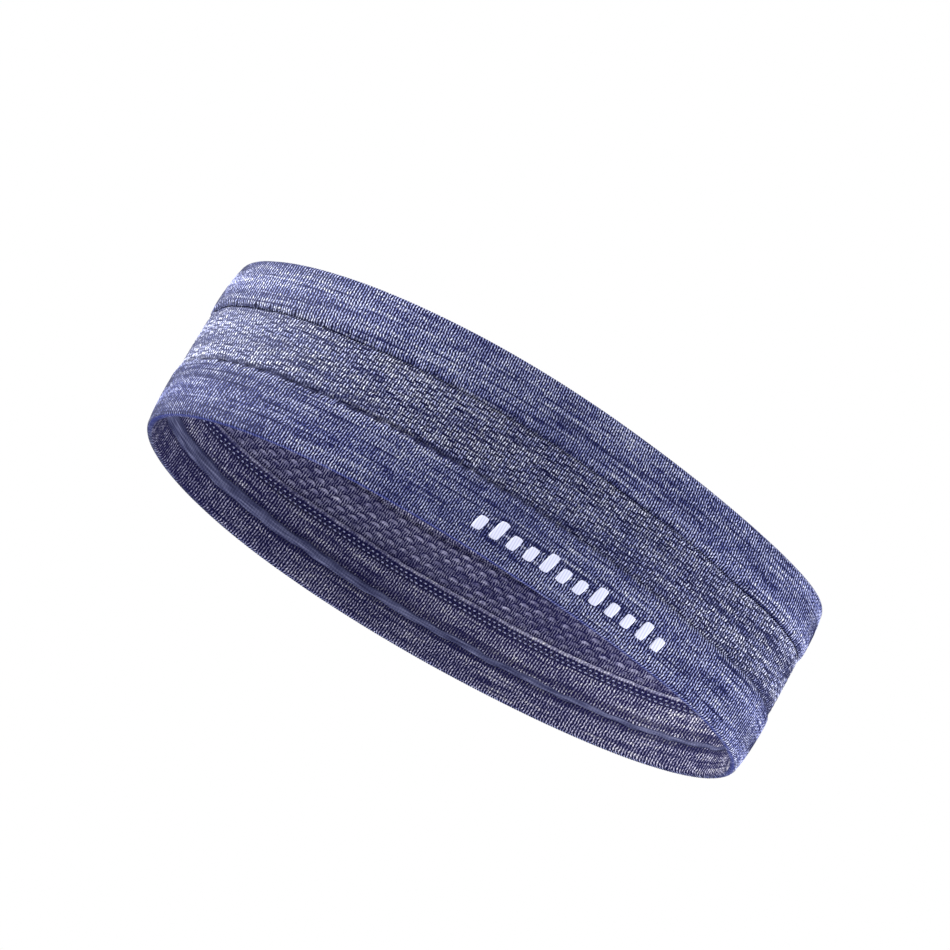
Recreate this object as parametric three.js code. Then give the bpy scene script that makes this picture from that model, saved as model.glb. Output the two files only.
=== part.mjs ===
// A knitted sports headband, standing open on its lower rim. Millimetres, +Z up.
// The loop's long way is X, and its printed front faces -Y. The origin is the middle of its footprint.
//
// The band is a knitted loop in three zones. The middle zone is a single-ply mesh panel.
// Above and below it is a hem: one ply that runs down the outside, turns over at the rim,
// and comes back up the inside as a facing. The panel's edges are tucked between the plies of the hems,
// and two rows of stitches on each facing hold them there. A silicone strip is bonded to the lower
// facing, and a row of slanted marks is printed on the front of the lower hem.
import * as THREE from "three";

// ---- Driving sizes ----

const BAND_HEIGHT = 60;
const LOWER_HEM_HEIGHT = 21; // rim to the outer ply's free edge
const UPPER_HEM_HEIGHT = 18.5;

// The loop's plan, measured to the middle of the panel's ply.
const HALF_LENGTH = 101.7;
const FRONT_DEPTH = 51.6; // at the lower rim, from the long axis to the front wall
const BACK_DEPTH = 55.4;
const UPPER_FRONT_DRAWN_IN = 4.5; // the front wall leans back by this much over the band's height

// Thicknesses and clearances.
const PLY = 0.9; // one layer of knit
const CLEARANCE = 0.3; // between any two pieces that touch

// Hems.
const TUCK = 3; // how far the panel's edge reaches between the plies
const FACING_OVERREACH = 3; // how far the facing stands past the outer ply's edge
const HEM_SWELL = 0.1; // how far each ply bows out, half way up the hem
const RIM_HALF_THICKNESS = 1.2;
const RIM_ROUND_HEIGHT = 1.2; // height over which the fold is rounded
const RIM_SHOULDER_HEIGHT = 3.2; // where the fold's flare meets the straight ply
const RIM_FLAT_HALF_WIDTH = 0.4; // the fold's flattened underside, on which the band stands
const EDGE_BEVEL = 0.45;

// Stitches.
const SEAM_ROW_SPACING = 1.4;
const SEAM_PAST_EDGE = 0.4; // the middle of the two rows, past the outer ply's edge
const STITCH_HEIGHT = 0.8;
const STITCH_THICKNESS = 0.5;
const CHANNEL_SINK = 0.5; // how far the rows pull the facing in
const CHANNEL_SLOPE = 0.4;

// Silicone strip.
const STRIP_RISE = 11.6; // its middle, above the lower rim
const STRIP_WIDTH = 3.2;
const STRIP_THICKNESS = 0.7;
const STRIP_BEVEL = 0.35;

// Printed marks.
const MARK_COUNT = 12;
const MARK_PITCH = 5.7;
const MARK_WIDTH = 3.5;
const MARK_TALL = 6.6;
const MARK_SHORT = 4.8;
const MARK_RISE = 5.6; // their feet, above the lower rim
const MARK_START = -2.8; // distance of the first mark's middle from the front's centre, along the wall
const MARK_SLANT = Math.tan(THREE.MathUtils.degToRad(14));
const MARK_CORNER = 0.9;
const MARK_THICKNESS = 0.3;

// How finely the curves are divided.
const LOOP_STEPS = 72;
const CORNER_STEPS = 2;

// ---- The loop's plan ----

// A limp loop settles into a slightly different oval at each rim. halfLength, frontDepth and backDepth
// give the oval; the bulges push the wall in and out three and four times round the loop.
const LOWER_RIM = {
  halfLength: HALF_LENGTH,
  frontDepth: FRONT_DEPTH,
  backDepth: BACK_DEPTH,
  threefoldEven: 1.5,
  threefoldOdd: -0.65,
  fourfold: -0.4,
};
const UPPER_RIM = {
  halfLength: HALF_LENGTH + 0.6,
  frontDepth: FRONT_DEPTH - UPPER_FRONT_DRAWN_IN,
  backDepth: BACK_DEPTH + 0.3,
  threefoldEven: 2.1,
  threefoldOdd: 1.45,
  fourfold: 0.1,
};
const FRONT_TO_BACK_SHARPNESS = 4; // how quickly the front's depth gives way to the back's

function ovalAt(height) {
  const share = height / BAND_HEIGHT;
  const oval = {};
  for (const key of Object.keys(LOWER_RIM)) {
    oval[key] = THREE.MathUtils.lerp(LOWER_RIM[key], UPPER_RIM[key], share);
  }
  return oval;
}

// The point at an angle round the loop and a height, moved outwards from the panel's middle by offset.
function wallPoint(angle, height, offset) {
  const oval = ovalAt(height);
  const cos = Math.cos(angle);
  const sin = Math.sin(angle);
  const towardsBack = 0.5 + 0.5 * Math.tanh(FRONT_TO_BACK_SHARPNESS * sin);
  const depth = THREE.MathUtils.lerp(oval.frontDepth, oval.backDepth, towardsBack);
  const outward = new THREE.Vector2(cos / oval.halfLength, sin / depth).normalize();
  const bulge =
    oval.threefoldEven * Math.cos(3 * angle) +
    oval.threefoldOdd * Math.sin(3 * angle) +
    oval.fourfold * Math.cos(4 * angle);
  const x = oval.halfLength * cos + outward.x * (bulge + offset);
  const y = depth * sin + outward.y * (bulge + offset);
  return new THREE.Vector3(x, y, height);
}

// ---- Pieces that run all round the loop ----

// A closed ring. Its section is a polygon of [offset, height] points, anticlockwise with offset to the
// right and height up.
function loopRing(section) {
  const positions = [];
  for (let step = 0; step < LOOP_STEPS; step++) {
    const angle = (2 * Math.PI * step) / LOOP_STEPS;
    for (const [offset, height] of section) {
      positions.push(...wallPoint(angle, height, offset).toArray());
    }
  }
  const faces = [];
  const count = section.length;
  for (let step = 0; step < LOOP_STEPS; step++) {
    const here = step * count;
    const next = ((step + 1) % LOOP_STEPS) * count;
    for (let corner = 0; corner < count; corner++) {
      const after = (corner + 1) % count;
      faces.push(here + corner, next + after, here + after);
      faces.push(here + corner, next + corner, next + after);
    }
  }
  const geometry = new THREE.BufferGeometry();
  geometry.setAttribute("position", new THREE.Float32BufferAttribute(positions, 3));
  geometry.setIndex(faces);
  geometry.computeVertexNormals();
  return geometry;
}

// Turns a section drawn from the rim upwards into one measured down from the upper rim.
function hungFromUpperRim(section) {
  return section.map(([offset, rise]) => [offset, BAND_HEIGHT - rise]).reverse();
}

const SLOT_HALF_WIDTH = PLY / 2 + CLEARANCE; // the panel's edge, with clearance on both sides
const HEM_HALF_THICKNESS = SLOT_HALF_WIDTH + PLY;
const CHANNEL_FLOOR = HEM_HALF_THICKNESS - CHANNEL_SINK;

// Half the hem's thickness at a height above the rim, on the straight part above the fold's shoulder.
function hemFaceOffset(rise, hemHeight) {
  const bow = Math.min(rise, hemHeight / 2) - RIM_SHOULDER_HEIGHT;
  const share = bow / (hemHeight / 2 - RIM_SHOULDER_HEIGHT);
  const shoulder = (RIM_HALF_THICKNESS + HEM_HALF_THICKNESS) / 2;
  return THREE.MathUtils.lerp(shoulder, HEM_HALF_THICKNESS + HEM_SWELL, share);
}

// The hem is a ply folded into a U: outer ply, fold, and the facing with its sunk seam channel.
function hemSection(hemHeight) {
  const middle = hemHeight / 2;
  const bowed = HEM_HALF_THICKNESS + HEM_SWELL;
  const shoulder = hemFaceOffset(RIM_SHOULDER_HEIGHT, hemHeight);
  const facingTop = hemHeight + FACING_OVERREACH;
  const seam = hemHeight + SEAM_PAST_EDGE;
  const channelHalf = (SEAM_ROW_SPACING + STITCH_HEIGHT) / 2 + CLEARANCE;
  const foldQuarter = [
    [RIM_FLAT_HALF_WIDTH, 0],
    [(RIM_FLAT_HALF_WIDTH + 2 * RIM_HALF_THICKNESS) / 3, RIM_ROUND_HEIGHT / 4],
    [RIM_HALF_THICKNESS, RIM_ROUND_HEIGHT],
    [shoulder, RIM_SHOULDER_HEIGHT],
  ];
  const outerPly = [
    ...foldQuarter,
    [bowed, middle],
    [HEM_HALF_THICKNESS, hemHeight - EDGE_BEVEL],
    [HEM_HALF_THICKNESS - EDGE_BEVEL, hemHeight],
  ];
  const slot = [
    [SLOT_HALF_WIDTH, hemHeight],
    [bowed - PLY, middle],
    [RIM_HALF_THICKNESS - PLY, RIM_ROUND_HEIGHT + PLY],
    [PLY - RIM_HALF_THICKNESS, RIM_ROUND_HEIGHT + PLY],
    [PLY - bowed, middle],
    [-SLOT_HALF_WIDTH, hemHeight],
    [-SLOT_HALF_WIDTH, facingTop],
  ];
  const facing = [
    [EDGE_BEVEL - HEM_HALF_THICKNESS, facingTop],
    [-HEM_HALF_THICKNESS, facingTop - EDGE_BEVEL],
    [-HEM_HALF_THICKNESS, seam + channelHalf + CHANNEL_SLOPE],
    [-CHANNEL_FLOOR, seam + channelHalf],
    [-CHANNEL_FLOOR, seam - channelHalf],
    [-HEM_HALF_THICKNESS, seam - channelHalf - CHANNEL_SLOPE],
    [-bowed, middle],
    ...foldQuarter.map(([offset, rise]) => [-offset, rise]).reverse(),
  ];
  return [...outerPly, ...slot, ...facing];
}

// The panel runs from inside one hem's slot to inside the other's.
function panelSection() {
  const low = LOWER_HEM_HEIGHT - TUCK;
  const high = BAND_HEIGHT - UPPER_HEM_HEIGHT + TUCK;
  const half = PLY / 2;
  return [
    [half, low],
    [half, high],
    [-half, high],
    [-half, low],
  ];
}

// One row of stitches, lying in the seam channel. side is -1 for the row nearer the rim and 1 for the other.
function stitchSection(hemHeight, side) {
  const middle = hemHeight + SEAM_PAST_EDGE + (side * SEAM_ROW_SPACING) / 2;
  const half = STITCH_HEIGHT / 2;
  const back = -(CHANNEL_FLOOR + CLEARANCE);
  const front = back - STITCH_THICKNESS;
  return [
    [back, middle - half],
    [back, middle + half],
    [front, middle + half / 2],
    [front, middle - half / 2],
  ];
}

// The strip lies on the facing, with its two long edges bevelled.
function stripSection() {
  const half = STRIP_WIDTH / 2;
  const back = -(HEM_HALF_THICKNESS + HEM_SWELL + CLEARANCE);
  const front = back - STRIP_THICKNESS;
  return [
    [back, STRIP_RISE - half],
    [back, STRIP_RISE + half],
    [front + STRIP_BEVEL, STRIP_RISE + half],
    [front, STRIP_RISE + half - STRIP_BEVEL],
    [front, STRIP_RISE - half + STRIP_BEVEL],
    [front + STRIP_BEVEL, STRIP_RISE - half],
  ];
}

// ---- The printed marks ----

// The angle of the point on the front wall that lies this far from the front's centre, along the wall.
function frontAngle(distance, height) {
  const step = THREE.MathUtils.degToRad(0.05) * Math.sign(distance);
  let angle = -Math.PI / 2;
  let point = wallPoint(angle, height, 0);
  let left = Math.abs(distance);
  while (left > 0) {
    const next = wallPoint(angle + step, height, 0);
    const length = next.distanceTo(point);
    angle += step * Math.min(1, left / length);
    left -= length;
    point = next;
  }
  return angle;
}

// A slanted bar with rounded corners, its foot's middle at the origin.
function markOutline(tall) {
  const half = MARK_WIDTH / 2;
  const lean = MARK_SLANT * tall;
  const corners = [
    [-half, 0],
    [half, 0],
    [half + lean, tall],
    [-half + lean, tall],
  ].map(([x, y]) => new THREE.Vector2(x, y));
  const outline = new THREE.Shape();
  corners.forEach((corner, i) => {
    const before = corners[(i + 3) % 4];
    const after = corners[(i + 1) % 4];
    const enter = before.clone().sub(corner).setLength(MARK_CORNER).add(corner);
    const leave = after.clone().sub(corner).setLength(MARK_CORNER).add(corner);
    if (i === 0) outline.moveTo(enter.x, enter.y);
    else outline.lineTo(enter.x, enter.y);
    outline.quadraticCurveTo(corner.x, corner.y, leave.x, leave.y);
  });
  outline.closePath();
  return outline;
}

// Marks are cut flat, then wrapped on to the hem's outer face.
function markGeometry(index) {
  const tall = index % 3 === 1 ? MARK_TALL : MARK_SHORT;
  const geometry = new THREE.ExtrudeGeometry(markOutline(tall), {
    depth: MARK_THICKNESS,
    bevelEnabled: false,
    curveSegments: CORNER_STEPS,
  });
  const along = MARK_START + index * MARK_PITCH;
  const points = geometry.getAttribute("position");
  for (let i = 0; i < points.count; i++) {
    const height = MARK_RISE + points.getY(i);
    const angle = frontAngle(along + points.getX(i), MARK_RISE);
    const offset = hemFaceOffset(height, LOWER_HEM_HEIGHT) + CLEARANCE + points.getZ(i);
    const wrapped = wallPoint(angle, height, offset);
    points.setXYZ(i, wrapped.x, wrapped.y, wrapped.z);
  }
  geometry.computeVertexNormals();
  return geometry;
}

// ---- Materials ----

function cloth(colour) {
  return new THREE.MeshStandardMaterial({ color: colour, roughness: 0.9, metalness: 0 });
}

const hemKnit = cloth(0x5c6196);
const panelKnit = cloth(0x5a5f92);
const stitchThread = cloth(0x8f92b8);
const silicone = new THREE.MeshStandardMaterial({ color: 0x45466b, roughness: 0.45, metalness: 0 });
const printFilm = new THREE.MeshStandardMaterial({ color: 0xdfe1f4, roughness: 0.6, metalness: 0 });

// ---- Assembly ----

const headband = new THREE.Group();

function addPiece(name, geometry, material) {
  const mesh = new THREE.Mesh(geometry, material);
  mesh.name = name;
  headband.add(mesh);
}

addPiece("lower_hem", loopRing(hemSection(LOWER_HEM_HEIGHT)), hemKnit);
addPiece("mesh_panel", loopRing(panelSection()), panelKnit);
addPiece("upper_hem", loopRing(hungFromUpperRim(hemSection(UPPER_HEM_HEIGHT))), hemKnit);
for (const [row, side] of [
  ["rim_side", -1],
  ["panel_side", 1],
]) {
  const lower = stitchSection(LOWER_HEM_HEIGHT, side);
  const upper = hungFromUpperRim(stitchSection(UPPER_HEM_HEIGHT, side));
  addPiece(`lower_seam_thread_${row}`, loopRing(lower), stitchThread);
  addPiece(`upper_seam_thread_${row}`, loopRing(upper), stitchThread);
}
addPiece("silicone_grip_strip", loopRing(stripSection()), silicone);
for (let index = 0; index < MARK_COUNT; index++) {
  const number = String(index + 1).padStart(2, "0");
  addPiece(`print_mark_${number}`, markGeometry(index), printFilm);
}

const footprint = new THREE.Box3().setFromObject(headband).getCenter(new THREE.Vector3());
headband.position.set(-footprint.x, -footprint.y, 0);

export default headband;
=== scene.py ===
"""A knitted sports headband in heathered blue-violet yarn, seen open and from slightly below.

The CAD frame gives every place and height. This script replaces each plain CAD ring with finely
knitted geometry: two folded hems, a mesh panel between them, rows of stitches, a silicone grip strip
and a row of slanted printed marks. Lengths named here are in millimetres and are turned into metres
where vertices are made.
"""

import math

import bpy
import numpy as np
from mathutils import Matrix, Vector

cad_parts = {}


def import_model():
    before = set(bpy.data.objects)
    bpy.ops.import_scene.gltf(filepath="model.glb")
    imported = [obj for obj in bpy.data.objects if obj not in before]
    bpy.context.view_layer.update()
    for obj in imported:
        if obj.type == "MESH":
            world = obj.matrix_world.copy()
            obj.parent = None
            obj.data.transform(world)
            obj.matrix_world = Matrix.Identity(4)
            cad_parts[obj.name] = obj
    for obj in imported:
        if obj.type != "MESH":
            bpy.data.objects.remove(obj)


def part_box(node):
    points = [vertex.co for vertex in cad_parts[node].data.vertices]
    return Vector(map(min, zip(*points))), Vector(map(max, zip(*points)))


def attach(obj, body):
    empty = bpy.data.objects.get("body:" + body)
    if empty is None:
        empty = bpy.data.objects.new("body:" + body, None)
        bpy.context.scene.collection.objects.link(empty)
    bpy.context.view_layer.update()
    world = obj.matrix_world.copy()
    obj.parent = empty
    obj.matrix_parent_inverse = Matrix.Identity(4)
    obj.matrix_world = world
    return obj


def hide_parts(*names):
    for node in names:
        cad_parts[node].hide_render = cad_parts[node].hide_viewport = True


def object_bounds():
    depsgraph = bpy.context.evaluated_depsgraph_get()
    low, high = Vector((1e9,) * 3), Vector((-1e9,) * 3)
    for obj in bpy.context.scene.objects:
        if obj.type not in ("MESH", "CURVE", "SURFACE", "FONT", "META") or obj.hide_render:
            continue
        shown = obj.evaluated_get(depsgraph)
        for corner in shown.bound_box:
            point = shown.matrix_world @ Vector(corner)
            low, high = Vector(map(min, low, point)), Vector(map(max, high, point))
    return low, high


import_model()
cad_low, cad_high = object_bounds()

MM = 0.001


# ---- Sizes read from the frame, in millimetres ----


def heights(node):
    low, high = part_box(node)
    return low.z / MM, high.z / MM


BAND_HEIGHT = cad_high.z / MM
PANEL_LOW, PANEL_HIGH = heights("mesh_panel")
LOWER_FACING_TOP = heights("lower_hem")[1]
UPPER_FACING_TOP = BAND_HEIGHT - heights("upper_hem")[0]
STRIP_LOW, STRIP_HIGH = heights("silicone_grip_strip")
TUCK = 3.0
LOWER_HEM_HEIGHT = PANEL_LOW + TUCK
UPPER_HEM_HEIGHT = BAND_HEIGHT - PANEL_HIGH + TUCK

# ---- The loop's plan, as in the CAD source ----

PLY = 0.9
LOWER_RIM = {
    "half_length": 101.7,
    "front_depth": 51.6,
    "back_depth": 55.4,
    "threefold_even": 1.5,
    "threefold_odd": -0.65,
    "fourfold": -0.4,
}
UPPER_RIM = {
    "half_length": 102.3,
    "front_depth": 47.1,
    "back_depth": 55.7,
    "threefold_even": 2.1,
    "threefold_odd": 1.45,
    "fourfold": 0.1,
}
FRONT_TO_BACK_SHARPNESS = 4.0


def blend_rims(key, height):
    return LOWER_RIM[key] + (UPPER_RIM[key] - LOWER_RIM[key]) * height / BAND_HEIGHT


def wall(angle, height, offset):
    """Points in plan: x, y and the outward direction, for arrays of angle, height and offset."""
    cos, sin = np.cos(angle), np.sin(angle)
    to_back = 0.5 + 0.5 * np.tanh(FRONT_TO_BACK_SHARPNESS * sin)
    front, back = blend_rims("front_depth", height), blend_rims("back_depth", height)
    length = blend_rims("half_length", height)
    depth = front + (back - front) * to_back
    out_x, out_y = cos / length, sin / depth
    size = np.hypot(out_x, out_y)
    out_x, out_y = out_x / size, out_y / size
    push = offset + (
        blend_rims("threefold_even", height) * np.cos(3 * angle)
        + blend_rims("threefold_odd", height) * np.sin(3 * angle)
        + blend_rims("fourfold", height) * np.cos(4 * angle)
    )
    return length * cos + out_x * push, depth * sin + out_y * push, out_x, out_y


def footprint_shift():
    """How far the CAD group was moved to bring the middle of its footprint to the origin."""
    angle = np.linspace(-math.pi, math.pi, 73)[None, :]
    height = np.array([[PANEL_LOW], [PANEL_HIGH]])
    x, y, _, _ = wall(angle, height, PLY / 2)
    low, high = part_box("mesh_panel")
    middle_x = (low.x + high.x) / 2 / MM
    middle_y = (low.y + high.y) / 2 / MM
    return middle_x - (x.min() + x.max()) / 2, middle_y - (y.min() + y.max()) / 2


SHIFT_X, SHIFT_Y = footprint_shift()

# ---- The knit's own coordinates: wales round the loop ----

CELL_WALES = 6  # wales from one dash or puff of the panel to the next in its row
STAGGERED_WALES = 2 * CELL_WALES  # the loop holds a whole number of these, so staggered rows close
WALE_PITCH = 0.88
FACING_SHARE = 0.88  # wales in the facing for each one in the outer ply
END_STRETCH = 0.12  # how much wider than average the wales are at the two ends of the loop
angle_table = np.linspace(-math.pi / 2, 1.5 * math.pi, 7201)
table_x, table_y, _, _ = wall(angle_table, BAND_HEIGHT / 3, 0.0)
arc_table = np.concatenate([[0], np.cumsum(np.hypot(np.diff(table_x), np.diff(table_y)))])
PERIMETER = arc_table[-1]
WALES = STAGGERED_WALES * round(PERIMETER / WALE_PITCH / STAGGERED_WALES)
FACING_WALES = STAGGERED_WALES * round(FACING_SHARE * WALES / STAGGERED_WALES)
turn_table = np.linspace(0, 1, 2401)
stretched_table = turn_table - END_STRETCH * np.sin(4 * math.pi * turn_table) / (4 * math.pi)


def angle_of(wale):
    """The angle round the loop of a wale number, counted from the middle of the front."""
    turns = np.floor(wale / WALES)
    arc = PERIMETER * np.interp(wale / WALES - turns, turn_table, stretched_table)
    return np.interp(arc, arc_table, angle_table) + 2 * math.pi * turns


def from_rims(height):
    """0 at both rims and 1 half way up."""
    return 1 - (2 * height / BAND_HEIGHT - 1) ** 2


def waves(angle, *parts):
    """Sines round the loop, added up from parts of (size, number of waves, phase)."""
    return sum(size * np.sin(number * angle + phase) for size, number, phase in parts)


def limpness(angle, height):
    """Small slow waves of a limp knit wall, in millimetres."""
    rise = height / BAND_HEIGHT
    slow = waves(angle, (0.30, 5, 1.3 + 2.0 * rise), (0.22, 9, 0.4 - 3.0 * rise))
    quick = waves(angle, (0.10, 17, 2.1 + 5.0 * rise), (0.07, 31, -4.0 * rise))
    ends = 0.9 * np.cos(angle) ** 8 * from_rims(height)
    return (slow + quick) * (0.2 + 0.8 * from_rims(height)) + ends


def place(wale, offset, height):
    """Wall points in metres, for arrays of wale, offset from the panel's middle, and height."""
    angle = angle_of(wale)
    x, y, _, _ = wall(angle, height, offset + limpness(angle, height))
    droop = waves(angle, (0.22, 4, 0.7), (0.12, 13, 1.9))
    z = height + droop * from_rims(height)
    return np.stack([x + SHIFT_X, y + SHIFT_Y, z], axis=-1) * MM


# ---- Making meshes ----


def through(points, count):
    """A smooth line through points, as count points evenly spaced along it (Catmull-Rom)."""
    p = np.array(points, float)
    p = np.vstack([2 * p[0] - p[1], p, 2 * p[-1] - p[-2]])
    steps = np.linspace(0, 1, 24, endpoint=False)[:, None]
    line = []
    for a, b, c, d in zip(p, p[1:], p[2:], p[3:]):
        curve = 2 * b + (c - a) * steps + (2 * a - 5 * b + 4 * c - d) * steps**2
        line.append(0.5 * (curve + (3 * b - a - 3 * c + d) * steps**3))
    line = np.vstack([*line, p[-2:-1]])
    arc = np.concatenate([[0], np.cumsum(np.hypot(*np.diff(line, axis=0).T))])
    even = np.linspace(0, arc[-1], count)
    return np.stack([np.interp(even, arc, line[:, i]) for i in range(2)], axis=1)


def mesh_object(name, vertices, quads, uvs, material):
    """A smooth-shaded object, with one UV pair for each corner of each quad."""
    mesh = bpy.data.meshes.new(name)
    mesh.vertices.add(len(vertices))
    mesh.vertices.foreach_set("co", np.asarray(vertices, np.float32).ravel())
    mesh.loops.add(quads.size)
    mesh.loops.foreach_set("vertex_index", quads.ravel().astype(np.int32))
    mesh.polygons.add(len(quads))
    mesh.polygons.foreach_set("loop_start", np.arange(0, quads.size, 4, dtype=np.int32))
    mesh.polygons.foreach_set("use_smooth", np.ones(len(quads), bool))
    layer = mesh.uv_layers.new(name="knit")
    layer.data.foreach_set("uv", np.asarray(uvs, np.float32).ravel())
    mesh.update(calc_edges=True)
    mesh.validate()
    obj = bpy.data.objects.new(name, mesh)
    bpy.context.scene.collection.objects.link(obj)
    obj.data.materials.append(material)
    return obj


def grid_object(name, points, wales, rows, material):
    """A closed ring from points[column, row], wrapped in both directions.

    wales[column] runs past the last column, and rows[row] past the last row, so that UVs don't wrap.
    """
    columns, count = points.shape[:2]
    column = np.arange(columns)[:, None]
    row = np.arange(count)[None, :]
    next_column = (column + 1) % columns
    next_row = (row + 1) % count
    corners = [
        column * count + row,
        next_column * count + row,
        next_column * count + next_row,
        column * count + next_row,
    ]
    quads = np.stack([np.broadcast_to(c, (columns, count)) for c in corners], axis=-1).reshape(-1, 4)
    u0 = np.broadcast_to(wales[:-1, None], (columns, count))
    u1 = np.broadcast_to(wales[1:, None], (columns, count))
    v0 = np.broadcast_to(rows[None, :count], (columns, count))
    v1 = np.broadcast_to(rows[None, 1:], (columns, count))
    uvs = np.stack([u0, v0, u1, v0, u1, v1, u0, v1], axis=-1).reshape(-1, 2)
    return mesh_object(name, points.reshape(-1, 3), quads, uvs, material)


def section_normals(section):
    """Outward unit normals of a closed anticlockwise section."""
    along = np.roll(section, -1, axis=0) - np.roll(section, 1, axis=0)
    along /= np.linalg.norm(along, axis=1)[:, None]
    return np.stack([along[:, 1], -along[:, 0]], axis=1)


COLUMNS_PER_WALE = 2


def knitted_ring(name, section, courses, relief, material):
    """Sweeps a section round the loop. relief(wale, course) lifts the surface, in millimetres.

    courses is each section point's place along the knit, in millimetres from the rim: positive on the
    outer face, negative on the inner one. It has one more entry than the section.
    """
    wales = np.arange(WALES * COLUMNS_PER_WALE + 1) / COLUMNS_PER_WALE
    wale, course = np.meshgrid(wales[:-1], courses[:-1], indexing="ij")
    lift = relief(wale, course)
    normals = section_normals(section)
    offset = section[None, :, 0] + normals[None, :, 0] * lift
    height = section[None, :, 1] + normals[None, :, 1] * lift
    return grid_object(name, place(wale, offset, height), wales, courses, material)


# ---- Hems ----

SEAM_PAST_EDGE = 0.4
STROKE_LENGTH = 1.2  # one pair of courses
STROKE_LEAN = -0.08  # wales to a millimetre
STROKE_TILT = 0.7  # how far a stroke's ends may be out of line, in half wales
HEM_HALF = PLY / 2 + 0.3 + PLY
RIM_HALF = 1.2
SEAM_FACE = -1.12
RIB_LIFT = 0.045


def hem_outline(hem_height, facing_top):
    """The hem's section from the rim up: the outer face, the hidden slot, and the inner face."""
    seam = hem_height + SEAM_PAST_EDGE
    middle = hem_height / 2
    outer = through(
        [
            (0.0, 0.0),  # the fold at the rim
            (0.72, 0.14),
            (RIM_HALF, 0.95),
            (1.38, 2.3),
            (HEM_HALF, 5.5),
            (HEM_HALF + 0.15, middle),  # the wall, a little swollen
            (HEM_HALF + 0.1, hem_height - 4.5),
            (HEM_HALF - 0.08, hem_height - 1.9),
            (1.22, hem_height - 0.75),  # rounded in to meet the panel
            (0.78, hem_height - 0.12),
            (0.5, hem_height + 0.1),
        ],
        34,
    )
    slot = np.array(
        [
            (0.62, hem_height - 1.4),
            (0.9, middle),
            (0.3, 2.2),
            (-0.3, 2.2),
            (-0.9, middle),
            (-0.62, facing_top - 1.0),
        ]
    )
    inner = through(
        [
            (-0.55, facing_top - 0.25),  # the facing's free edge, a soft lip
            (-1.0, facing_top + 0.2),
            (-1.5, facing_top - 0.2),
            (-1.62, facing_top - 0.8),
            (-1.35, seam + 1.35),
            (SEAM_FACE, seam + 0.8),  # pulled flat by the two rows of stitches
            (SEAM_FACE, seam - 0.8),
            (-1.4, seam - 1.45),
            (-HEM_HALF, seam - 2.4),
            (-HEM_HALF - 0.1, middle),
            (-HEM_HALF, 5.5),
            (-1.38, 2.3),
            (-RIM_HALF, 0.95),
            (-0.72, 0.14),
            (0.0, 0.0),
        ],
        37,
    )[:-1]
    return outer, slot, inner


def along(points):
    """Distance along a line of points, from its first."""
    return np.concatenate([[0], np.cumsum(np.hypot(*np.diff(points, axis=0).T))])


def hem_relief(hem_height):
    """Ribs of the wales, a crease above the rim, and puckers where the stitches pull.

    The outer edge ruffles most at the left end of the loop.
    """

    def relief(wale, course):
        ribs = RIB_LIFT * np.cos(2 * math.pi * wale)
        from_edge = course - hem_height
        turn = 2 * math.pi * wale / WALES
        wobble = waves(turn, (0.16, 67, 0.0), (0.13, 113, 1.0), (0.1, 171, 0.0))
        wobble = wobble + 0.1 * np.cos(2 * math.pi * wale / 3)
        leftward = 0.5 - 0.5 * np.sin(turn)
        ruffle = 1.5 * wobble * (0.4 + 0.6 * leftward)
        pucker = (ruffle - 0.12) * np.exp(-((from_edge - 0.2) ** 2) / 1.6)
        crease = -0.10 * np.exp(-((course - 2.9) ** 2) / 0.18)
        from_seam = -course - hem_height - SEAM_PAST_EDGE
        inner_pucker = 0.08 * np.cos(math.pi * wale) * np.exp(-(from_seam**2) / 3.0)
        return ribs + pucker + crease + inner_pucker

    return relief


def hem(name, hem_height, facing_top, hung, material):
    """A doubled hem. A hung one is measured down from the upper rim."""
    outer, slot, inner = hem_outline(hem_height, facing_top)
    outer_course = along(outer)
    inner_course = -along(inner[::-1])[::-1]
    slot_course = np.where(slot[:, 0] > 0, slot[:, 1], -slot[:, 1])
    section = np.vstack([outer, slot, inner])
    courses = np.concatenate([outer_course, slot_course, inner_course])
    if hung:
        section = np.stack([section[:, 0], BAND_HEIGHT - section[:, 1]], axis=1)[::-1]
        courses = courses[::-1]
    courses = np.append(courses, courses[0])
    return knitted_ring(name, section, courses, hem_relief(hem_height), material)


# ---- Mesh panel ----

DASH_ROW = 0.9
PUFF_ROW = 2.1
PANEL_SWELL = 0.5


def smooth_pulse(distance, half_width, softness):
    """1 within half_width of zero, falling smoothly to 0 over softness."""
    t = np.clip((np.abs(distance) - half_width) / softness, 0, 1)
    return 1 - t * t * (3 - 2 * t)


def cell_distance(wale, course, row_height):
    """Distances to the nearest cell's middle in rows that are staggered by half a period."""
    row = np.floor(course / row_height)
    shifted = wale + (row % 2) * CELL_WALES / 2
    across = (shifted / CELL_WALES - np.floor(shifted / CELL_WALES) - 0.5) * CELL_WALES
    up = (course / row_height - row - 0.5) * row_height
    return across, up


def panel_relief(wale, course):
    """Dashes sunk in the outer face, and puffs raised on the inner one."""
    ribs = 0.05 * np.cos(2 * math.pi * wale)
    across, up = cell_distance(wale, np.abs(course), DASH_ROW)
    dash = smooth_pulse(across, 1.1, 0.8) * smooth_pulse(up, 0.12, 0.3)
    across, up = cell_distance(wale, np.abs(course), PUFF_ROW)
    puff = np.exp(-((across / 1.7) ** 2) - (up / 0.55) ** 2)
    return np.where(course > 0, ribs - 0.32 * dash, 0.3 * ribs + 0.9 * puff - 0.2)


def between_hems(height):
    """0 behind the hems' edges, and 1 in the open part of the panel."""
    from_low = np.clip((height - LOWER_HEM_HEIGHT - 0.2) / 0.8, 0, 1)
    from_high = np.clip((BAND_HEIGHT - UPPER_HEM_HEIGHT - 0.2 - height) / 0.8, 0, 1)
    nearer = np.minimum(from_low, from_high)
    return nearer * nearer * (3 - 2 * nearer)


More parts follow.
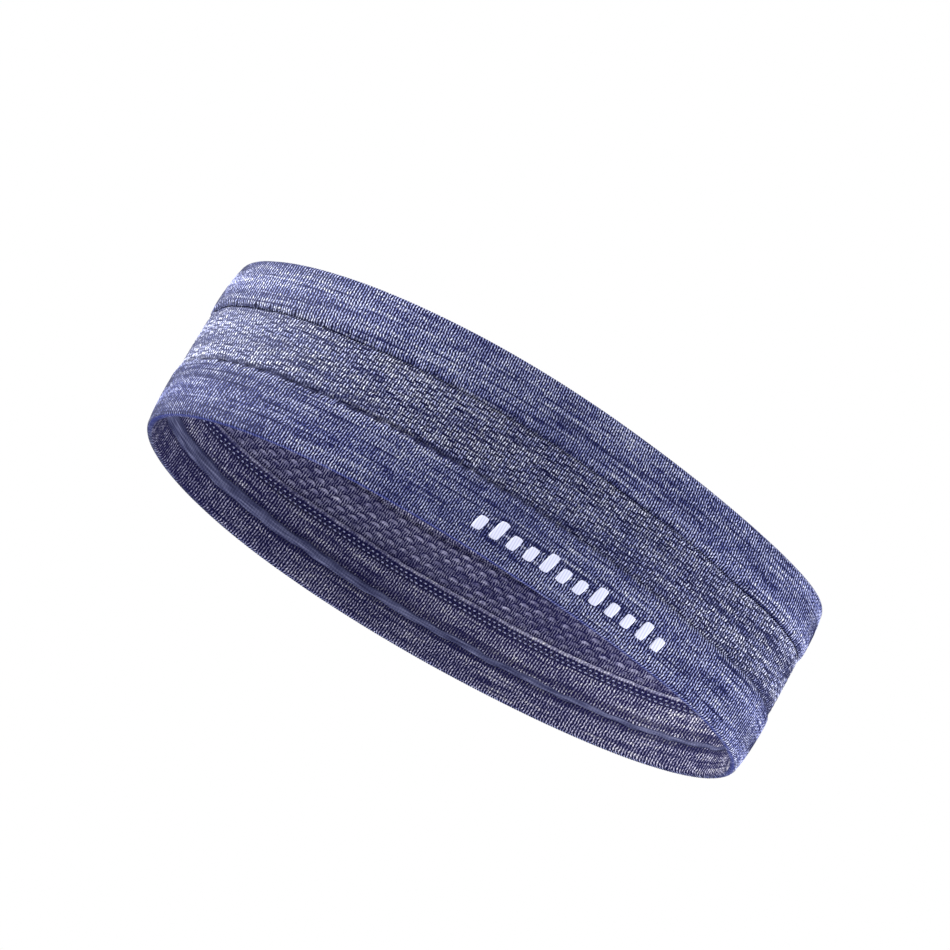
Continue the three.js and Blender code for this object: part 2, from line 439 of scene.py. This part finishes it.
def mesh_panel(material):
    half = PLY / 2
    low, high = PANEL_LOW, PANEL_HIGH
    up = np.linspace(low, high, 48)
    down = np.linspace(high, low, 26)
    outer = np.stack([half + PANEL_SWELL * between_hems(up), up], axis=1)
    inner = np.stack([0.6 * PANEL_SWELL * between_hems(down) - half, down], axis=1)
    section = np.vstack([outer, inner])
    courses = np.concatenate([outer[:, 1], -inner[:, 1], outer[:1, 1]])
    return knitted_ring("mesh_panel_knit", section, courses, panel_relief, material)


# ---- Stitches, grip strip and marks ----


def tube(name, path, radius, sides, wales, material):
    """A closed ring of thread along path, an array of points in metres that joins up with itself."""
    ahead = np.roll(path, -1, axis=0) - np.roll(path, 1, axis=0)
    ahead /= np.linalg.norm(ahead, axis=1)[:, None]
    side = np.cross(ahead, [0, 0, 1.0])
    side /= np.linalg.norm(side, axis=1)[:, None]
    lift = np.cross(side, ahead)
    turn = 2 * math.pi * np.arange(sides) / sides
    cos, sin = np.cos(turn)[None, :, None], np.sin(turn)[None, :, None]
    around = side[:, None, :] * cos + lift[:, None, :] * sin
    points = path[:, None, :] + radius * MM * around
    return grid_object(name, points, wales, np.arange(sides + 1.0), material)


STITCH_STEPS = 12
STITCHES = FACING_WALES // 2
STITCH_DEPTH = 1.0
THREAD_RADIUS = 0.22
THREAD_SIDES = 6


def stitch_row(name, height, lift, shift, material):
    """A thread that comes up through the facing every second wale, and shows as a row of dots.

    lift is how far the middle of the thread stands over the facing at the top of a stitch, and shift
    is a share of a stitch.
    """
    wales = np.linspace(0, WALES, STITCHES * STITCH_STEPS + 1)
    phase = 2 * math.pi * (wales[:-1] / WALES * STITCHES + shift)
    offset = SEAM_FACE - lift + STITCH_DEPTH / 2 * (1 - np.cos(phase))
    path = place(wales[:-1], offset, height)
    return tube(name, path, THREAD_RADIUS, THREAD_SIDES, wales, material)


STRIP_THICKNESS = 0.62


def grip_strip(material):
    """A cast bead of silicone on the facing, lower and wider towards the left, with wavy edges."""
    wales = np.arange(WALES + 1.0)
    angle = angle_of(wales[:-1])
    leftward = 0.5 - 0.5 * np.cos(angle)
    wave = waves(angle, (0.16, 23, 0.0), (0.14, 41, 1.0), (0.1, 67, 0.0))
    drop = 0.7 + 0.2 * leftward + leftward**3
    width = 1.6 + 1.2 * leftward + 2.9 * leftward**3
    low = STRIP_LOW - drop + wave
    high = low + width - 0.7 * np.roll(wave, 40)
    back = -HEM_HALF
    front = back - STRIP_THICKNESS
    shape = np.array(
        [
            (0.0, back),
            (0.06, front + 0.18),
            (0.2, front),
            (0.55, front + 0.06),
            (0.9, front),
            (1.0, back),
        ]
    )
    height = low[:, None] + (high - low)[:, None] * shape[None, :, 0]
    offset = np.broadcast_to(shape[None, :, 1], height.shape)
    points = place(np.broadcast_to(wales[:-1, None], height.shape), offset, height)
    rows = np.append(shape[:, 0], 0.0)
    return grid_object("grip_strip_silicone", points, wales, rows, material)


MARK_SLANT = math.tan(math.radians(14))
MARK_CORNER = 0.45  # 0 is a square corner and 1 makes the whole outline an ellipse
MARK_COUNT = 12
FILM_THICKNESS = 0.12
FILM_EDGE = 0.07
FILM_SWELL = 0.13


def wale_at_front(x):
    """The wale number at a given x on the front of the band."""
    front = np.sin(angle_table) < 0
    order = np.argsort(table_x[front])
    arc = np.interp(x - SHIFT_X, table_x[front][order], arc_table[front][order])
    return WALES * np.interp(arc / PERIMETER, stretched_table, turn_table)


def printed_mark(node, material):
    """A slanted bar of print film, laid over the hem's face and thinning at its edge."""
    low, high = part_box(node)
    foot, head = low.z / MM, high.z / MM
    lean = MARK_SLANT * (head - foot)
    width = (high.x - low.x) / MM - lean
    s, t = np.meshgrid(np.linspace(-1, 1, 15), np.linspace(-1, 1, 25), indexing="ij")
    across = s * np.sqrt(1 - MARK_CORNER * t**2 / 2)
    up = t * np.sqrt(1 - MARK_CORNER * s**2 / 2)
    height = (foot + head) / 2 + up * (head - foot) / 2
    x = (low.x + high.x) / 2 / MM + across * width / 2 + up * lean / 2
    wale = wale_at_front(x)
    wale = np.where(wale > WALES / 2, wale - WALES, wale)
    outer, _, _ = hem_outline(LOWER_HEM_HEIGHT, LOWER_FACING_TOP)
    face = np.interp(height, outer[:, 1], outer[:, 0])
    rim = np.maximum(np.abs(s), np.abs(t))
    film = FILM_EDGE + FILM_SWELL * (1 - rim**8) + 0.6 * RIB_LIFT * np.cos(2 * math.pi * wale)
    points = place(wale, face + film, height)
    columns, rows = points.shape[:2]
    index = np.arange(columns * rows).reshape(columns, rows)
    corners = [index[:-1, :-1], index[1:, :-1], index[1:, 1:], index[:-1, 1:]]
    quads = np.stack(corners, axis=-1).reshape(-1, 4)
    knit = np.stack([wale, height], axis=-1).reshape(-1, 2)
    piece = mesh_object(node + "_film", points.reshape(-1, 3), quads, knit[quads.ravel()], material)
    skin = piece.modifiers.new("film", "SOLIDIFY")
    skin.thickness = FILM_THICKNESS * MM
    skin.offset = -1
    return piece


# ---- Materials ----


SPECULAR = 0.07
ROW_STRIDE = 7.31  # far enough apart in the noise for rows to have nothing in common


class Value:
    """One number in a node tree. Arithmetic on Values adds Math nodes, so a pattern reads as a formula."""

    def __init__(self, tree, socket):
        self.tree = tree
        self.socket = socket

    def math(self, operation, *others):
        node = self.tree.nodes.new("ShaderNodeMath")
        node.operation = operation
        for slot, item in zip(node.inputs, (self, *others)):
            if isinstance(item, Value):
                self.tree.links.new(item.socket, slot)
            else:
                slot.default_value = item
        return Value(self.tree, node.outputs[0])

    def __add__(self, other):
        return self.math("ADD", other)

    def __sub__(self, other):
        return self.math("SUBTRACT", other)

    def __mul__(self, other):
        return self.math("MULTIPLY", other)

    def __truediv__(self, other):
        return self.math("DIVIDE", other)

    def __pow__(self, other):
        return self.math("POWER", other)

    def floor(self):
        return self.math("FLOOR")

    def fract(self):
        return self.math("FRACT")

    def abs(self):
        return self.math("ABSOLUTE")

    def above(self, edge):
        return self.math("GREATER_THAN", edge)

    def inverse(self):
        """One minus the value."""
        return self * -1.0 + 1.0

    def band(self, low, high, softness):
        """1 between low and high, falling to 0 over softness outside them."""
        up = self.ramp(low - softness, low)
        down = self.ramp(high + softness, high)
        return up * down

    def ramp(self, start, end):
        """0 at start, 1 at end, smooth in between and clamped outside."""
        node = self.tree.nodes.new("ShaderNodeMapRange")
        node.interpolation_type = "SMOOTHSTEP"
        node.inputs["From Min"].default_value = start
        node.inputs["From Max"].default_value = end
        self.tree.links.new(self.socket, node.inputs["Value"])
        return Value(self.tree, node.outputs["Result"])


class Shader:
    """A Principled material under construction."""

    def __init__(self, name):
        self.material = bpy.data.materials.new(name)
        self.material.use_nodes = True
        self.tree = self.material.node_tree
        self.surface = self.tree.nodes["Principled BSDF"]
        self.surface.inputs["Specular IOR Level"].default_value = SPECULAR

    def knit(self):
        """The knit coordinates: wale number and millimetres from the rim."""
        node = self.tree.nodes.new("ShaderNodeUVMap")
        node.uv_map = "knit"
        split = self.tree.nodes.new("ShaderNodeSeparateXYZ")
        self.tree.links.new(node.outputs["UV"], split.inputs[0])
        return Value(self.tree, split.outputs[0]), Value(self.tree, split.outputs[1])

    def position(self):
        """Where the point is in the row frame, in millimetres, as three Values."""
        node = self.tree.nodes.new("ShaderNodeTexCoord")
        split = self.tree.nodes.new("ShaderNodeSeparateXYZ")
        self.tree.links.new(node.outputs["Object"], split.inputs[0])
        return [Value(self.tree, split.outputs[axis]) * (1 / MM) for axis in range(3)]

    def noise(self, per_mm, detail=2.0, offset=(0, 0, 0)):
        """Noise in the row frame, with per_mm features to a millimetre along X, Y and Z."""
        place_node = self.tree.nodes.new("ShaderNodeTexCoord")
        mapping = self.tree.nodes.new("ShaderNodeMapping")
        mapping.inputs["Location"].default_value = offset
        mapping.inputs["Scale"].default_value = [k / MM for k in per_mm]
        self.tree.links.new(place_node.outputs["Object"], mapping.inputs["Vector"])
        node = self.tree.nodes.new("ShaderNodeTexNoise")
        node.inputs["Scale"].default_value = 1.0
        node.inputs["Detail"].default_value = detail
        self.tree.links.new(mapping.outputs["Vector"], node.inputs["Vector"])
        return Value(self.tree, node.outputs["Fac"])

    def row_noise(self, row, per_mm, detail=2.0):
        """Noise that runs along each row of the knit, and has nothing to do with the next row's."""
        join = self.tree.nodes.new("ShaderNodeCombineXYZ")
        for axis, distance in enumerate(self.position()[:2]):
            self.tree.links.new((distance * per_mm).socket, join.inputs[axis])
        self.tree.links.new((row * ROW_STRIDE).socket, join.inputs[2])
        node = self.tree.nodes.new("ShaderNodeTexNoise")
        node.inputs["Scale"].default_value = 1.0
        node.inputs["Detail"].default_value = detail
        self.tree.links.new(join.outputs[0], node.inputs["Vector"])
        return Value(self.tree, node.outputs["Fac"])

    def random(self, a, b):
        """A different random number for each pair of whole numbers."""
        join = self.tree.nodes.new("ShaderNodeCombineXYZ")
        self.tree.links.new(a.socket, join.inputs[0])
        self.tree.links.new(b.socket, join.inputs[1])
        node = self.tree.nodes.new("ShaderNodeTexWhiteNoise")
        node.noise_dimensions = "2D"
        self.tree.links.new(join.outputs[0], node.inputs["Vector"])
        return Value(self.tree, node.outputs["Value"])

    def colours(self, value, stops):
        """A colour for each value, from (place, hex colour) stops."""
        node = self.tree.nodes.new("ShaderNodeValToRGB")
        elements = node.color_ramp.elements
        while len(elements) < len(stops):
            elements.new(0.5)
        for element, (where, colour) in zip(elements, stops):
            element.position = where
            element.color = linear(colour)
        self.tree.links.new(value.socket, node.inputs["Fac"])
        return node.outputs["Color"]

    def mix(self, factor, first, second):
        """first where factor is 0 and second where it is 1. Each is a colour socket or a hex colour."""
        node = self.tree.nodes.new("ShaderNodeMix")
        node.data_type = "RGBA"
        self.tree.links.new(factor.socket, node.inputs["Factor"])
        for slot, colour in ((node.inputs[6], first), (node.inputs[7], second)):
            if isinstance(colour, str):
                slot.default_value = linear(colour)
            else:
                self.tree.links.new(colour, slot)
        return node.outputs[2]

    def finish(self, colour, roughness, height, depth):
        """Connects the colour and the relief. depth is the relief's height in millimetres."""
        self.tree.links.new(colour, self.surface.inputs["Base Color"])
        self.surface.inputs["Roughness"].default_value = roughness
        bump = self.tree.nodes.new("ShaderNodeBump")
        bump.inputs["Strength"].default_value = 1.0
        bump.inputs["Distance"].default_value = depth * MM
        self.tree.links.new(height.socket, bump.inputs["Height"])
        self.tree.links.new(bump.outputs["Normal"], self.surface.inputs["Normal"])
        return self.material

    def finish_yarn(self, colour, height, depth):
        """As finish, with the slight bloom of loose fibres."""
        self.surface.inputs["Sheen Weight"].default_value = 0.03
        self.surface.inputs["Sheen Roughness"].default_value = 0.5
        self.surface.inputs["Sheen Tint"].default_value = linear("c8ccf5")
        return self.finish(colour, 0.85, height, depth)


def linear(colour):
    """A hex colour as linear RGBA."""
    parts = [int(colour[i : i + 2], 16) / 255 for i in (0, 2, 4)]
    return [c / 12.92 if c <= 0.04045 else ((c + 0.055) / 1.055) ** 2.4 for c in parts] + [1.0]


YARN = [
    (0.0, "1a1f60"),
    (0.25, "454c8b"),
    (0.5, "8b92c8"),
    (0.75, "b8beea"),
    (1.0, "e2e6ff"),
]
INNER_YARN = [
    (0.0, "20204a"),
    (0.25, "504f78"),
    (0.5, "8f8eb2"),
    (0.75, "bcbbdb"),
    (1.0, "e8e7f7"),
]
# the dark between stitches, outside and inside: partly dark yarn, partly painted shade between the loops
GAP = "03052e"
INNER_GAP = "0c0b3a"
FOLD_BLUE = "333e92"
# greys for a painted sheen at the left end of the loop
HEM_END_SHEEN_GREY = "575a68"
PANEL_END_SHEEN_GREY = "727792"

HEM_TONE = 0.59  # places on the scale of YARN
PANEL_TONE = 0.73
INNER_PANEL_DIP = 0.28

COURSE_PITCH = 0.6
PUFF_ARCH = 0.09  # how far a puff's ends droop, in millimetres at one wale from its middle


def streaks(shader, course):
    """How pale the dyed yarn of each course is along its length: about 0, below it for dark yarn."""
    return shader.row_noise((course / COURSE_PITCH).floor(), 0.05, detail=2.0) - 0.5


def heather(shader, streak, fleck):
    """The yarn's tone: dyed streaks along each course, broad clouds, and flecks stitch by stitch."""
    blur = shader.noise((0.03, 0.03, 0.55), detail=2.0)
    cloud = shader.noise((0.02, 0.02, 0.12), detail=1.0, offset=(3.1, 1.7, 5.2))
    return streak * 1.05 + (blur - 0.5) * 0.5 + (cloud - 0.5) * 0.2 + (fleck - 0.5) * 0.42


def threaded(cover, streak):
    """Dark yarn sinks out of sight along its course, and pale yarn spreads over the gaps beside it."""
    sunk = streak.ramp(-0.04, -0.18) * 0.6
    spread = streak.ramp(0.08, 0.24) * 0.12
    return cover * sunk.inverse() + cover.inverse() * spread


def knit_colour(shader, tone, cover, inside):
    """Yarn where cover is 1 and the dark between stitches where it is 0, greyer inside the band. The dark
    between stitches is partly dark yarn and partly painted shade.
    """
    outer = shader.mix(cover, GAP, shader.colours(tone, YARN))
    inner = shader.mix(cover, INNER_GAP, shader.colours(tone, INNER_YARN))
    return shader.mix(inside, outer, inner)


def strokes(shader, wale, course, parting):
    """The visible leg of each stitch: a thin upright stroke, staggered from wale to wale.

    parting is how dark it gets between a stitch and the next one in its wale, from 0 to 1.
    """
    sway = shader.noise((0.45, 0.45, 0.45), detail=1.0) - 0.5
    leaning = wale + course * STROKE_LEAN + sway * 0.7
    column = leaning.floor()
    across = leaning.fract() * 2.0 - 1.0
    stagger = (column * 0.5).fract() + shader.random(column, column * 0.37) * 0.4
    along_wale = course / STROKE_LENGTH + stagger
    row = along_wale.floor()
    up = along_wale.fract() * 2.0 - 1.0
    fleck = shader.random(column, row)
    tilt = (shader.random(row, column + 17.0) - 0.5) * STROKE_TILT
    gap = (up.abs() ** 2.2) * (shader.random(row, column) * 0.4 + 0.6) * parting
    body = (across + up * tilt).abs().ramp(0.52, 0.25) * gap.inverse()
    return body, fleck


def leftward_of(x):
    """0 right of the middle of the front, rising to 1 well to the left of it."""
    return x.ramp(60.0, -40.0)


def far_left(x):
    """0 in the middle, rising to 1 at the left end of the loop."""
    return x.ramp(-50.0, -102.0)


def sheen_greyed_end(shader, colour, x, inside, grey, share):
    """Mixes grey into the outer face towards the left end as a painted sheen, greyer and flatter where the
    side light grazes the knit, tuned to how the photo looks there.
    """
    return shader.mix(far_left(x) * inside.inverse() * share, colour, grey)


def hem_material(name, hem_height, gripped):
    """A hem's knit. gripped is for the hem with the silicone strip on its facing."""
    shader = Shader(name)
    wale, course = shader.knit()
    depth = course * -1.0
    inside = depth.above(0.0)
    wale = wale + wale * (FACING_WALES / WALES - 1.0) * inside
    body, fleck = strokes(shader, wale, course, 1.0)
    streak = streaks(shader, course)
    tone = heather(shader, streak, fleck) + HEM_TONE
    body = threaded(body, streak)
    wobble = shader.noise((0.3, 0.3, 0.8), detail=3.0) - 0.5
    x, y, _ = shader.position()
    leftward = leftward_of(x)
    # painted shade: a darker band in the groove at the outer edge, broken up by noise, and a darker band
    # along the seam's channel on the facing
    broken = shader.noise((0.25, 0.25, 0.1), detail=2.0).ramp(0.34, 0.54)
    edge = (course + wobble * 1.2 - hem_height).band(0.0, 2.0, 0.25) * broken
    seam = (depth + wobble * 0.5 - hem_height).band(-1.1, 2.0, 0.4)
    shade = (edge * 0.25).inverse() * (seam * 0.85).inverse()
    if gripped:
        # painted shade: the groove darker still towards the left, and the whole hem a little darker
        # towards the left
        shade = shade * (edge * leftward * 0.8).inverse() * (leftward * 0.12).inverse()
        # painted shade along both sides of the strip, where the yarn sinks beside it
        above = (depth + wobble * 1.2).band(STRIP_HIGH - 0.9, STRIP_HIGH + 0.5, 0.5)
        below = (depth + wobble * 1.2).band(STRIP_LOW - 2.2, STRIP_LOW - 0.8, 0.5)
        shade = shade * (above * 0.6).inverse() * (below * 0.7).inverse()
        # painted highlight on a puffed lip above the seam and on a ridge below the outer edge, stronger
        # towards the left; the tone also darkens towards the left end, a painted shade
        lip = (depth + wobble - hem_height).band(2.6, 4.0, 0.6)
        ridge_highlight = (course + wobble - hem_height).band(-1.6, -0.5, 0.4) * leftward
        tone = tone + ridge_highlight * 0.12 - leftward * 0.02 - far_left(x) * 0.14
        body = body + body.inverse() * lip * 0.3
    cover = body * shade
    colour = knit_colour(shader, tone + inside * 0.06, cover, inside)
    # painted sheen at the left end
    colour = sheen_greyed_end(shader, colour, x, inside, HEM_END_SHEEN_GREY, 0.2)
    fold = course.band(0.1, 0.6, 0.25) * y.ramp(10.0, -10.0)
    colour = shader.mix(fold * 0.45, colour, FOLD_BLUE)
    return shader.finish_yarn(colour, body, 0.25)


def cells(shader, wale, course, row_height, looseness):
    """As cell_distance, for a shader, with cells a little out of line. Also a number for each cell."""
    drift = shader.noise((0.35, 0.35, 0.7), detail=1.0)
    stray = shader.noise((0.25, 0.25, 0.5), detail=1.0, offset=(7.7, 2.9, 4.1))
    wale = wale + (drift - 0.5) * looseness * 2.4
    course = course + (stray - 0.5) * looseness
    row = (course / row_height).floor()
    shifted = wale / CELL_WALES + (row * 0.5).fract()
    across = (shifted.fract() - 0.5) * CELL_WALES
    up = ((course / row_height).fract() - 0.5) * row_height
    return across.abs(), up, shader.random(shifted.floor(), row)


def panel_material():
    """The panel's knit: dark dashes outside, and puffs over a sunk lattice inside, the puffs paled by
    painted highlight and the lattice and the hollow above each puff darkened by painted shade.
    """
    shader = Shader("panel_yarn")
    wale, course = shader.knit()
    body, fleck = strokes(shader, wale, course, 0.5)
    inside = (course * -1.0).above(0.0)
    across, up, strength = cells(shader, wale, course.abs(), DASH_ROW, 1.0)
    dash = across.ramp(2.5, 1.5) * up.abs().ramp(0.44, 0.22) * (strength * 0.4 + 0.6)
    across, up, strength = cells(shader, wale, course.abs(), PUFF_ROW, 0.9)
    up = up + across * across * PUFF_ARCH
    puff = ((across / 2.0) ** 2.0 + (up.abs() / 0.6) ** 2.0).ramp(1.3, 0.4) * (strength * 0.7 + 0.3)
    # painted shade: a dark crescent in the hollow above each puff
    hollow_shade = across.ramp(2.4, 1.0) * (up - 0.7).abs().ramp(0.45, 0.1)
    wobble = shader.noise((0.3, 0.3, 0.8), detail=3.0) - 0.5
    x, _, _ = shader.position()
    leftward = leftward_of(x)
    # painted shade in the groove along the lower hem's edge, stronger towards the left
    border_shade = (course + wobble * 1.4).ramp(LOWER_HEM_HEIGHT + 1.3, LOWER_HEM_HEIGHT + 0.5)
    outer_shade = dash.inverse() * (border_shade * (leftward * 0.5 + 0.25)).inverse()
    # painted shade on the sunk lattice and a painted highlight on the raised puffs
    lattice = body * 0.7
    inner_cover = (lattice + lattice.inverse() * puff * 0.6) * (hollow_shade * 0.95).inverse()
    streak = streaks(shader, course)
    outer_cover = threaded(body, streak) * outer_shade
    cover = outer_cover + (inner_cover - outer_cover) * inside
    # the tone rises towards the left, a painted light
    tone = heather(shader, streak, fleck) * (inside * 0.35).inverse() + leftward * 0.06
    tone = tone + PANEL_TONE - inside * INNER_PANEL_DIP
    colour = knit_colour(shader, tone, cover, inside)
    # painted sheen at the left end
    colour = sheen_greyed_end(shader, colour, x, inside, PANEL_END_SHEEN_GREY, 0.15)
    return shader.finish_yarn(colour, cover, 0.28)


def mark_material():
    """Pale film that follows the ribs under it."""
    shader = Shader("print_film")
    wale, _ = shader.knit()
    rib = (wale.fract() * 2.0 - 1.0).abs()
    colour = shader.colours(rib, [(0.35, "cdd0e4"), (1.0, "aeb1d4")])
    return shader.finish(colour, 0.5, rib.inverse(), 0.04)


def thread_material():
    """Thread with a pale twist."""
    shader = Shader("stitch_thread")
    wale, _ = shader.knit()
    twist = (wale * 4.0).fract()
    colour = shader.colours(twist, [(0.0, "7478a8"), (0.5, "b9bcdc"), (1.0, "7478a8")])
    return shader.finish(colour, 0.6, twist, 0.03)


def silicone_material():
    """Cloudy silicone that shows the ribs, fading into the knit at its upper edge."""
    shader = Shader("silicone")
    wale, share = shader.knit()
    rib = ((wale * FACING_WALES / WALES).fract() * 2.0 - 1.0).abs()
    grain = shader.noise((0.12, 0.12, 1.8), detail=3.0) + (rib - 0.5) * -0.14
    colour = shader.colours(grain, [(0.3, "26284a"), (0.5, "484b6d"), (0.72, "727597")])
    soft_edge = share.ramp(0.5, 1.0) * 0.65
    colour = shader.mix(soft_edge, colour, "1c1f48")
    return shader.finish(colour, 0.5, grain, 0.2)


# ---- The object ----


def add(piece, slot, *nodes):
    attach(piece, "root")
    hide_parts(*nodes)
    return piece


thread = thread_material()
film = mark_material()

lower_hem = hem(
    "lower_hem_knit",
    LOWER_HEM_HEIGHT,
    LOWER_FACING_TOP,
    False,
    hem_material("lower_hem_yarn", LOWER_HEM_HEIGHT, gripped=True),
)
upper_hem = hem(
    "upper_hem_knit",
    UPPER_HEM_HEIGHT,
    UPPER_FACING_TOP,
    True,
    hem_material("upper_hem_yarn", UPPER_HEM_HEIGHT, gripped=False),
)
panel = mesh_panel(panel_material())
add(lower_hem, "hem_knit", "lower_hem")
add(upper_hem, "hem_knit", "upper_hem")
add(panel, "panel_knit", "mesh_panel")
strip = add(grip_strip(silicone_material()), "silicone", "silicone_grip_strip")

stitches = {"lower": [], "upper": []}
for zone, rows in stitches.items():
    for row, lift, shift in (("rim_side", 0.17, 0.0), ("panel_side", 0.05, 0.5)):
        node = f"{zone}_seam_thread_{row}"
        low, high = heights(node)
        piece = stitch_row(f"{zone}_stitches_{row}", (low + high) / 2, lift, shift, thread)
        rows.append(add(piece, "stitch_thread", node))

for number in range(1, MARK_COUNT + 1):
    node = f"print_mark_{number:02d}"
    add(printed_mark(node, film), "print_film", node)

# ---- Stage, light and camera ----


def stage_floor():
    """A wide pale floor, well below the camera."""
    half, level = 4.0, -0.6
    mesh = bpy.data.meshes.new("floor")
    corners = [(-half, -half, level), (half, -half, level), (half, half, level), (-half, half, level)]
    mesh.from_pydata(corners, [], [(0, 1, 2, 3)])
    floor = bpy.data.objects.new("floor", mesh)
    bpy.context.scene.collection.objects.link(floor)
    shader = Shader("floor")
    shader.surface.inputs["Base Color"].default_value = linear("e9e9ec")
    shader.surface.inputs["Roughness"].default_value = 0.9
    mesh.materials.append(shader.material)


def world(ambient):
    """A white backdrop whose light on the object is softer than it looks."""
    scene = bpy.context.scene
    scene.world = bpy.data.worlds.new("studio")
    scene.world.use_nodes = True
    nodes = scene.world.node_tree.nodes
    links = scene.world.node_tree.links
    background = nodes["Background"]
    background.inputs["Color"].default_value = (1, 1, 1, 1)
    path = nodes.new("ShaderNodeLightPath")
    strength = nodes.new("ShaderNodeMapRange")
    strength.inputs["To Min"].default_value = ambient
    strength.inputs["To Max"].default_value = 1.0
    links.new(path.outputs["Is Camera Ray"], strength.inputs["Value"])
    links.new(strength.outputs["Result"], background.inputs["Strength"])


def softbox(name, direction, distance, size, power, colour=(1, 1, 1)):
    """A square area light that faces the band's middle."""
    light = bpy.data.lights.new(name, "AREA")
    light.size = size
    light.energy = power
    light.color = colour
    lamp = bpy.data.objects.new(name, light)
    bpy.context.scene.collection.objects.link(lamp)
    back = Vector(direction).normalized()
    lamp.location = CENTRE + back * distance
    lamp.rotation_mode = "QUATERNION"
    lamp.rotation_quaternion = back.to_track_quat("Z", "Y")


CENTRE = Vector((0, 0, BAND_HEIGHT / 2 * MM))
AZIMUTH, ELEVATION, ROLL = (math.radians(a) for a in (-2.3, -22.0, 30.24))
DISTANCE = 1.078
FRAME_PIXELS = 950
FOCAL_PIXELS = 3541
OFF_CENTRE = (10.6, 48.4)  # where the band's middle falls, right of and below the frame's middle


def camera():
    back = Vector(
        (
            math.sin(AZIMUTH) * math.cos(ELEVATION),
            -math.cos(AZIMUTH) * math.cos(ELEVATION),
            math.sin(ELEVATION),
        )
    )
    level = Vector((0, 0, 1)).cross(back).normalized()
    upright = back.cross(level)
    right = level * math.cos(ROLL) + upright * math.sin(ROLL)
    up = back.cross(right)
    data = bpy.data.cameras.new("camera")
    data.sensor_width = 36
    data.lens = FOCAL_PIXELS * data.sensor_width / FRAME_PIXELS
    view = bpy.data.objects.new("camera", data)
    bpy.context.scene.collection.objects.link(view)
    per_pixel = DISTANCE / FOCAL_PIXELS
    spot = CENTRE + back * DISTANCE - right * OFF_CENTRE[0] * per_pixel + up * OFF_CENTRE[1] * per_pixel
    turn = Matrix((right, up, back)).transposed().to_4x4()
    view.matrix_world = Matrix.Translation(spot) @ turn
    bpy.context.scene.camera = view


stage_floor()
world(0.5)
softbox("key_left", (-1.0, -0.15, 0.35), distance=0.9, size=0.6, power=27.5, colour=(1.0, 0.985, 0.91))
softbox("fill_right", (1.0, -0.15, 0.2), distance=1.0, size=0.5, power=16.5)
softbox("front_low", (0.1, -1.0, -0.75), distance=1.0, size=0.5, power=3.2)
camera()
bpy.context.scene.view_settings.view_transform = "Standard"
